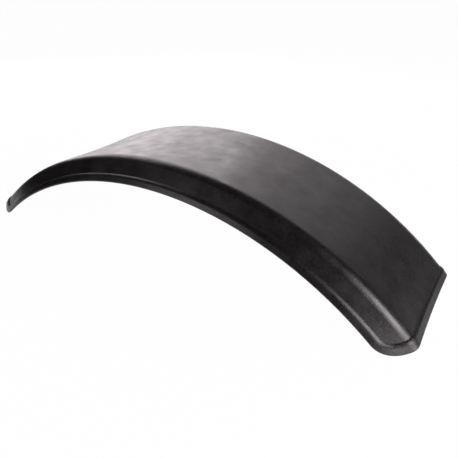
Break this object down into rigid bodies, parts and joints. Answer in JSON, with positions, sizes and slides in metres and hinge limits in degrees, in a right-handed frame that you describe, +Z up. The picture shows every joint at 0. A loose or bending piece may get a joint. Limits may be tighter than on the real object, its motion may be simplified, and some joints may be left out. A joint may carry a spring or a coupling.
{
  "type": "tractor front mudguard",
  "caption": "Arched black plastic mudguard for a tractor's front wheel: flat crown, rounded sloping shoulders and a raised rim round the whole edge, carried over the tyre on a bracket.",
  "frame": {"origin": "on the surface that the arch stands on, under the middle of the crown", "axes": "+X along the arch from end to end, +Y across it, +Z up; the wheel axis runs along Y, below the floor"},
  "size_m": [0.974, 0.3252, 0.2103],
  "materials": {
    "black_plastic": "black moulded polyethylene with a fine grain and a low, slightly cloudy sheen"
  },
  "bodies": {
    "root": {"mudguard_shell": "black_plastic"}
  },
  "joints": []
}
